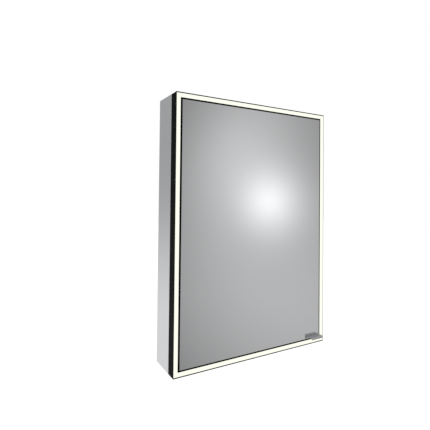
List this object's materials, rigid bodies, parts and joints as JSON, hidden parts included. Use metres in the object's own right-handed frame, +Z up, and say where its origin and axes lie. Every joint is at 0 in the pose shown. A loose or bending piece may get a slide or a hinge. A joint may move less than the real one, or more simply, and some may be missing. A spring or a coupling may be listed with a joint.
{
  "type": "mirror cabinet",
  "caption": "Wall-hung aluminium bathroom mirror cabinet with an all-round light frame, an inset pivot-hung mirror door and glass shelves inside.",
  "frame": {"origin": "middle of the wall rail's back face, on the wall", "axes": "+X to the right as the user faces the cabinet, +Y into the wall, +Z up"},
  "size_m": [0.5, 0.1281, 0.7],
  "materials": {
    "anodised_aluminium": "satin natural anodised",
    "black_aluminium": "satin black anodised",
    "opal_acrylic": "opal, lit from behind",
    "mirror_glass": "silvered float glass with polished edges",
    "shelf_glass": "clear float glass with polished edges",
    "zinc_steel": "zinc plated",
    "painted_sheet": "light grey powder coat",
    "stainless": "fine brushed stainless steel",
    "handle_metal": "satin grey anodised",
    "honeycomb": "foam board with black edges",
    "black_steel": "blackened, satin",
    "black_acetal": "natural sheen",
    "grey_plastic": "fine texture",
    "white_plastic": "moulded",
    "black_plastic": "fine texture",
    "silicone": "translucent",
    "foam_tape": "matt",
    "green_board": "solder mask",
    "light_tape": "white flexible circuit",
    "led_lens": "phosphor",
    "brass": "plain",
    "magnet": "sintered ferrite"
  },
  "bodies": {
    "cabinet": {"left_side_panel": "anodised_aluminium", "right_side_panel": "anodised_aluminium", "top_panel": "anodised_aluminium", "bottom_panel": "anodised_aluminium", "corner_keys": "zinc_steel", "light_frame_left": "black_aluminium", "light_frame_right": "black_aluminium", "light_frame_top": "black_aluminium", "light_frame_bottom": "black_aluminium", "frame_corner_plates": "zinc_steel", "frame_screws": "zinc_steel", "light_diffuser": "opal_acrylic", "light_strips": "light_tape", "light_chips": "led_lens", "back_panel": "painted_sheet", "panel_screws": "zinc_steel", "inside_mirror": "mirror_glass", "hanger_brackets": "zinc_steel", "hanger_screws": "zinc_steel", "wall_rail": "zinc_steel", "driver_case": "black_plastic", "driver_board": "green_board", "box_screws": "zinc_steel", "junction_box": "white_plastic", "cable_gland": "black_plastic", "terminal_block": "white_plastic", "terminal_screws": "brass", "shelf_bottom": "shelf_glass", "shelf_middle": "shelf_glass", "shelf_top": "shelf_glass", "shelf_pins": "stainless", "pivot_plate_top": "black_steel", "pivot_plate_bottom": "black_steel", "pivot_plate_screws": "black_steel", "pivot_pins": "stainless", "pivot_washers": "black_acetal", "catch_case": "grey_plastic", "catch_magnet": "magnet", "catch_screws": "stainless", "bumper_brackets": "grey_plastic", "door_bumpers": "silicone", "switch_case": "black_plastic"},
    "door": {"door_mirror_front": "mirror_glass", "door_mirror_rear": "mirror_glass", "door_stile_left": "black_aluminium", "door_stile_right": "black_aluminium", "door_rail_top": "black_aluminium", "door_rail_bottom": "black_aluminium", "door_core_panel": "honeycomb", "door_rail_keys": "zinc_steel", "door_stile_plugs": "black_plastic", "door_handle": "handle_metal", "pivot_blocks": "zinc_steel", "pivot_bushes": "black_acetal", "strike_plate": "stainless", "handle_tape": "foam_tape"},
    "rocker": {"switch_rocker": "white_plastic"}
  },
  "joints": [
    {"name": "door_swing", "type": "hinge", "parent": "cabinet", "child": "door", "pos_m": [-0.2139, -0.1029, -0.295], "axis": [0, 0, -1], "range_deg": [0, 110]},
    {"name": "switch_tilt", "type": "hinge", "parent": "cabinet", "child": "rocker", "pos_m": [0.2285, -0.062, -0.491], "axis": [0, -1, 0], "range_deg": [0, 16]}
  ]
}
